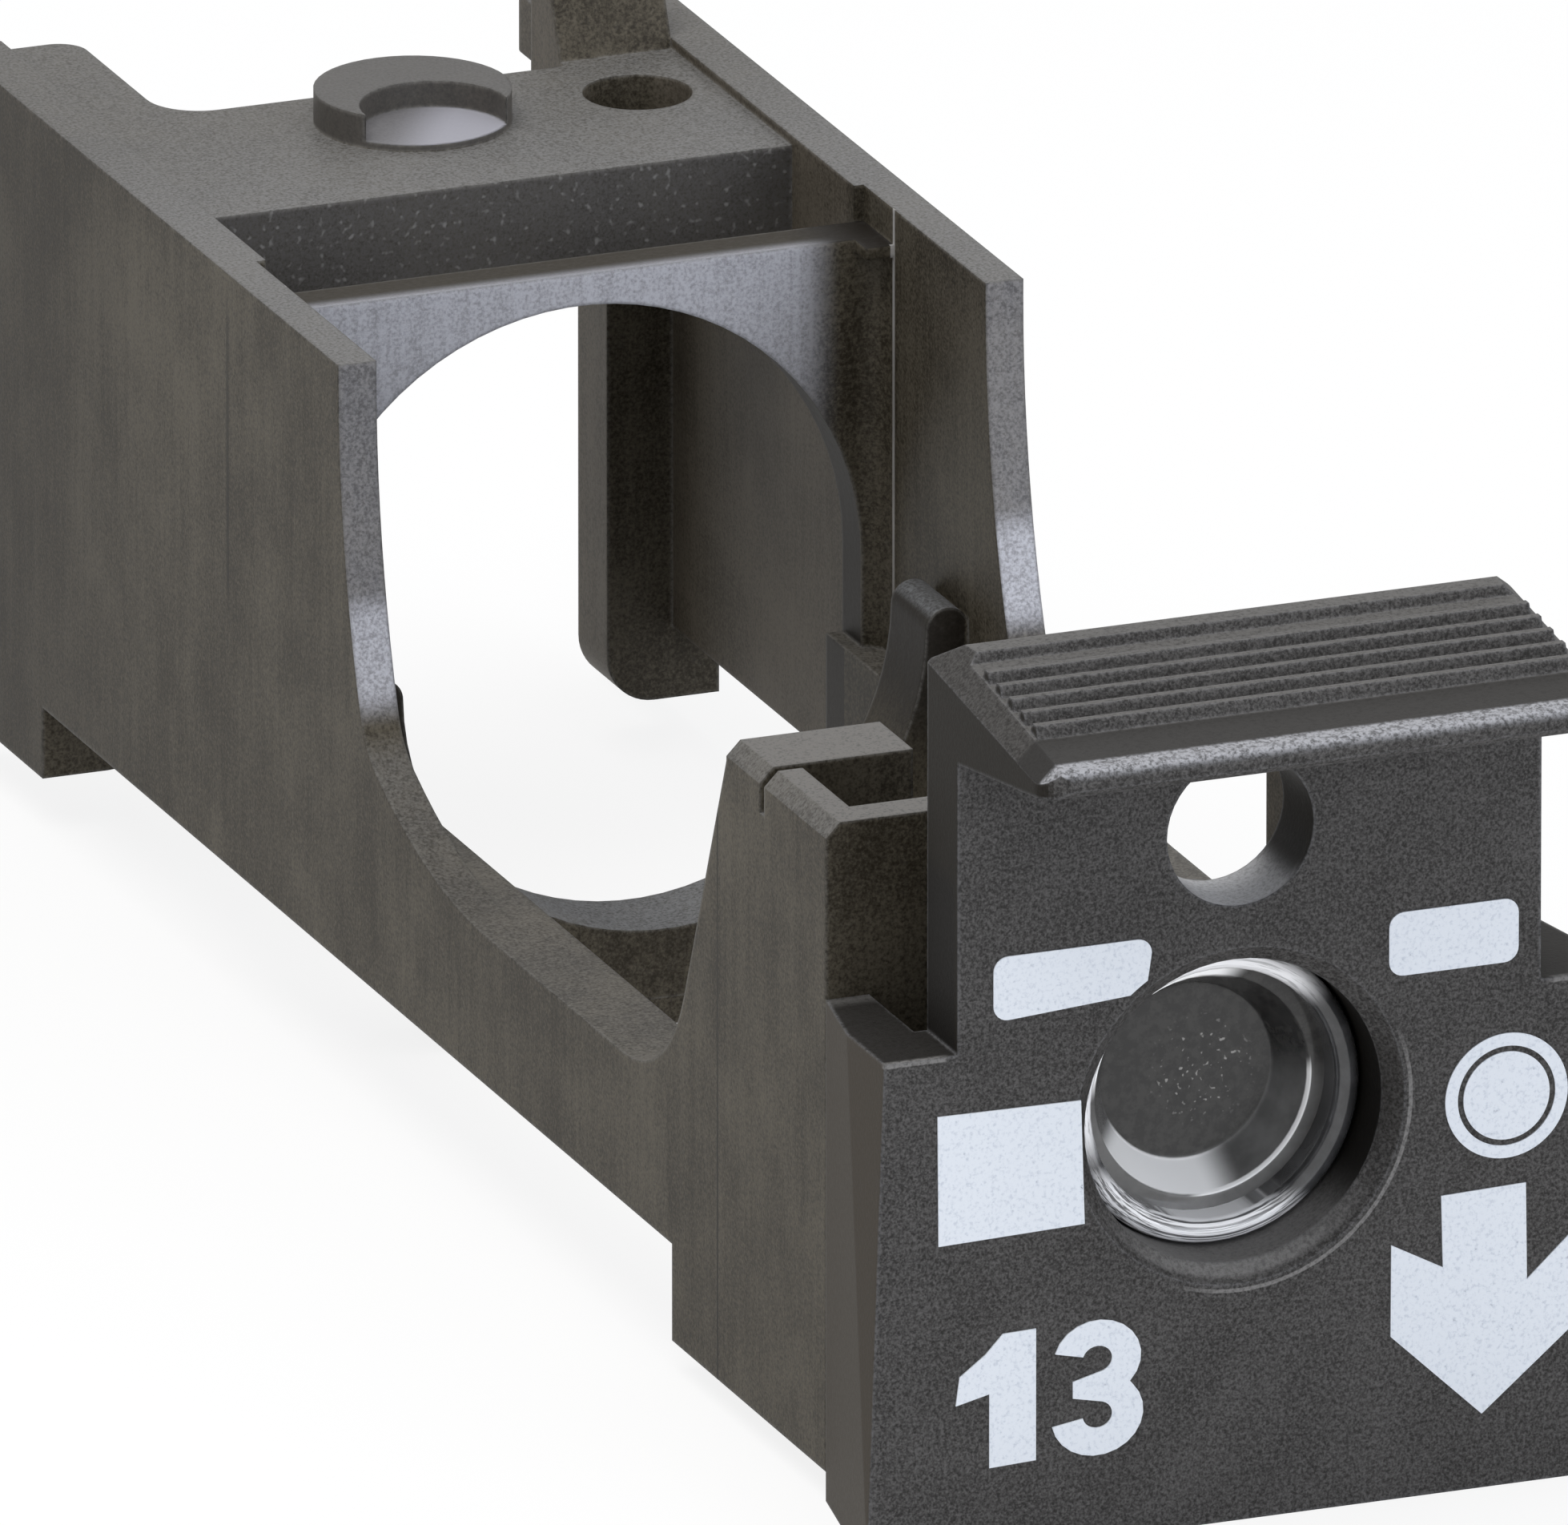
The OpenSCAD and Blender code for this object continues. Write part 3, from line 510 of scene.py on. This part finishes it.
def makeKeel(look):
    foot, top = look["z"]
    corners = ((-look["halfFoot"], foot), (look["halfFoot"], foot), (look["halfTop"], top), (-look["halfTop"], top))
    mesh = bmesh.new()
    front, back = [[mesh.verts.new((px * mm, py * mm, pz * mm)) for px, pz in corners] for py in look["y"]]
    mesh.faces.new(front)
    mesh.faces.new(back[::-1])
    for i in range(4):
        mesh.faces.new((front[i], back[i], back[i - 3], front[i - 3]))
    low = [e for e in mesh.edges if max(v.co.z for v in e.verts) < (foot + look["bevel"]) * mm]
    bmesh.ops.bevel(mesh, geom=low, offset=look["bevel"] * mm, affect="EDGES", segments=look["segments"],
                    profile=0.5, material=-1)
    bmesh.ops.recalc_face_normals(mesh, faces=mesh.faces[:])
    piece = addMesh("saddleKeel", mesh, looks["drawer_frame"])
    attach(piece, "root")


makeKeel(keel)
print("saddle's keel made")


# White marks printed on the front plate; their outlines are in millimetres, x to the right and z up

ink = {"proud": 0.03, "sunk": 0.009, "gripReach": 4.65}  # millimetres
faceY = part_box("front_plate")[0].y + ink["gripReach"] * mm  # the plate's face lies behind the grip's tip
printed = makeWhitePrint(printLook)


def layOnPlate(mesh, name):
    # mesh lies in x and y of its own: its y becomes the plate's height, and it gets the ink's thickness
    flat = bmesh.ops.extrude_face_region(mesh, geom=mesh.faces[:])
    raised = [v for v in flat["geom"] if isinstance(v, bmesh.types.BMVert)]
    bmesh.ops.translate(mesh, verts=raised, vec=(0, 0, (ink["proud"] + ink["sunk"]) * mm))
    turn = Matrix.Translation((0, faceY + ink["sunk"] * mm, 0)) @ Matrix.Rotation(math.pi / 2, 4, "X")
    bmesh.ops.transform(mesh, matrix=turn, verts=mesh.verts[:])
    bmesh.ops.recalc_face_normals(mesh, faces=mesh.faces[:])
    piece = addMesh(name, mesh, printed)
    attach(piece, "root")


def outlineMark(name, points):
    mesh = bmesh.new()
    mesh.faces.new([mesh.verts.new((px * mm, pz * mm, 0)) for px, pz in points])
    layOnPlate(mesh, name)


def arc(x, z, radius, first, last, steps, wide=1.0):
    # points from one angle to another, in degrees from the right
    turns = [math.radians(first + (last - first) * step / steps) for step in range(steps + 1)]
    return [(x + wide * radius * math.cos(turn), z + radius * math.sin(turn)) for turn in turns]


squareMark = [(-6.48, 6.44), (-3.44, 6.52), (-3.52, 9.06), (-6.5, 9.1)]
outlineMark("squareMark", squareMark)

leftBar = {"x": (-5.34, -2.05), "z": (10.9, 12.2), "corner": 0.3, "steps": 6}
rightBar = {"x": (2.9, 5.6), "z": (10.75, 12.05), "corner": 0.3, "steps": 6}
eyeClear = 3.6


def makeBar(name, look):
    # a plain printed bar, its lower edge cut back in an arc where it would reach the eye's recess
    (left, right), (low, high), corner = look["x"], look["z"], look["corner"]
    middles = ((right - corner, high - corner, 90), (right - corner, low + corner, 0),
               (left + corner, low + corner, -90), (left + corner, high - corner, -180))
    cleared = []
    for middleX, middleZ, start in middles:
        for px, pz in arc(middleX, middleZ, corner, start, start - 90, look["steps"]):
            across, above = px - eye["x"], pz - eye["z"]
            grow = max(1.0, eyeClear / math.hypot(across, above))
            cleared.append((eye["x"] + across * grow, eye["z"] + above * grow))
    outlineMark(name, cleared)


makeBar("leftBar", leftBar)
makeBar("rightBar", rightBar)

arrowMark = [(4.0, 6.12), (4.04, 4.65), (2.96, 5.24), (2.95, 3.36), (4.86, 1.53),
             (6.75, 3.1), (6.75, 5.05), (5.8, 4.18), (5.77, 6.17)]
outlineMark("arrowMark", arrowMark)

ringMark = {"x": 5.36, "z": 8.01, "bands": [(1.28, 1.02), (0.9, 0.0)], "segments": 64}


def makeRingMark(look):
    # an open ring and a full disc inside it
    mesh = bmesh.new()
    for outer, inner in look["bands"]:
        made = bmesh.ops.create_circle(mesh, cap_ends=True, segments=look["segments"], radius=outer * mm)
        if inner:
            face = [f for f in mesh.faces if all(v in made["verts"] for v in f.verts)]
            bmesh.ops.inset_individual(mesh, faces=face, thickness=(outer - inner) * mm)
            bmesh.ops.delete(mesh, geom=face, context="FACES_ONLY")
    bmesh.ops.translate(mesh, vec=(look["x"] * mm, look["z"] * mm, 0), verts=mesh.verts[:])
    layOnPlate(mesh, "ringMark")


makeRingMark(ringMark)

digitOne = [(-5.42, 1.76), (-4.45, 1.8), (-4.45, 4.5), (-5.14, 4.48),
            (-5.5, 4.1), (-6.04, 3.7), (-6.12, 3.12), (-5.42, 3.28)]
outlineMark("digitOne", digitOne)

# each bow: height of its middle, radius, first and last angle, steps
digitThree = {
    "x": -3.17, "wide": 1.14, "stub": ((-3.68, 2.96), (-3.68, 3.3)),
    "outer": ((3.71, 0.8, 165, -42, 13), (2.57, 0.84, 40, -170, 14)),
    "innerLower": (2.57, 0.27, 190, 430, 16), "innerUpper": (3.71, 0.27, -80, 165, 16),
}


def makeThree(look):
    # one outline: round the outside from the top bow to the foot, then back up inside both bows
    def bow(z, radius, first, last, steps):
        return arc(look["x"], z, radius, first, last, steps, look["wide"])

    points = [point for numbers in look["outer"] for point in bow(*numbers)]
    points += bow(*look["innerLower"]) + list(look["stub"]) + bow(*look["innerUpper"])
    outlineMark("digitThree", points)


makeThree(digitThree)
print("printed marks laid on the plate")


# Floor, light and camera

room = {  # the floor's half width is in metres
    "floor": (0.86, 0.86, 0.86, 1), "floorRough": 0.9, "floorGloss": 0.1, "floorHalf": 3, "floorShow": 0.85,
    "sky": (0.93, 0.95, 1.0, 1), "skyLight": 0.55, "white": (1, 1, 1, 1), "whiteLight": 1.0,
}


def showWhite(g, lit, white, share, output):
    # white is what the camera sees, straight or in a gloss or glass; the light on things comes from lit
    rays = g.node("ShaderNodeLightPath").socket.node
    seen = Wire(g, rays.outputs["Is Camera Ray"])
    for kind in ("Is Glossy Ray", "Is Transmission Ray"):
        seen = g.most(seen, Wire(g, rays.outputs[kind]))
    both = g.node("ShaderNodeMixShader", {}, {0: seen * share, 1: lit, 2: white})
    g.feed(g.tree.nodes[output].inputs[0], both)


def makeFloor(look):
    g = startMaterial("floor", look)
    g.set(Base_Color=look["floor"], Roughness=look["floorRough"], Specular_IOR_Level=look["floorGloss"])
    white = g.node("ShaderNodeEmission", {}, {"Color": look["white"], "Strength": look["whiteLight"]})
    showWhite(g, Wire(g, g.shader.outputs[0]), white, look["floorShow"], "Material Output")
    mesh = bmesh.new()
    bmesh.ops.create_grid(mesh, x_segments=1, y_segments=1, size=look["floorHalf"])
    floor = addMesh("floor", mesh, g.owner)


def makeSky(look):
    world = bpy.data.worlds.new("studio")
    bpy.context.scene.world = world
    g = Graph(world, look)
    sky, white = [g.node("ShaderNodeBackground", {}, {"Color": look[colour], "Strength": look[strength]})
                  for colour, strength in (("sky", "skyLight"), ("white", "whiteLight"))]
    showWhite(g, sky, white, 1.0, "World Output")


makeFloor(room)
makeSky(room)

lamps = [  # name, place in metres, what it looks at, size, watts, colour
    ("overhead", (-0.10, -0.05, 0.42), (0, 0, 0.008), 0.34, 1.5, (1.0, 0.98, 0.95)),
    ("frontFill", (0.16, -0.42, 0.10), (0, 0, 0.006), 0.22, 0.8, (0.88, 0.92, 1.0)),
]
for name, place, target, size, watts, colour in lamps:
    lamp = bpy.data.lights.new(name, "AREA")
    lamp.size = size
    lamp.energy = watts
    lamp.color = colour
    holder = bpy.data.objects.new(name, lamp)
    holder.location = place
    holder.rotation_euler = (Vector(target) - Vector(place)).to_track_quat("-Z", "Y").to_euler()
    bpy.context.scene.collection.objects.link(holder)

view = {  # millimetres, but for seesTo, the clipping distance in metres
    "back": Vector((-0.34703, -0.87854, 0.32825)), "target": Vector((0, -3.275, 8.6)), "distance": 1323.46,
    "sideways": -1.6565, "upward": 0.4245, "lens": 1550, "sensor": 36, "seesTo": 20,
}


def makeCamera(look):
    back = look["back"].normalized()
    right = Vector((0, 0, 1)).cross(back).normalized()
    up = back.cross(right)
    spot = look["target"] + back * look["distance"] + right * look["sideways"] + up * look["upward"]
    lens = bpy.data.cameras.new("camera")
    lens.lens = look["lens"]
    lens.sensor_width = look["sensor"]
    lens.clip_end = look["seesTo"]
    camera = bpy.data.objects.new("camera", lens)
    camera.matrix_world = Matrix.Translation(spot * mm) @ Matrix((right, up, back)).transposed().to_4x4()
    bpy.context.scene.collection.objects.link(camera)
    bpy.context.scene.camera = camera


makeCamera(view)
bpy.context.scene.view_settings.view_transform = "Standard"
print("floor, light and camera set")
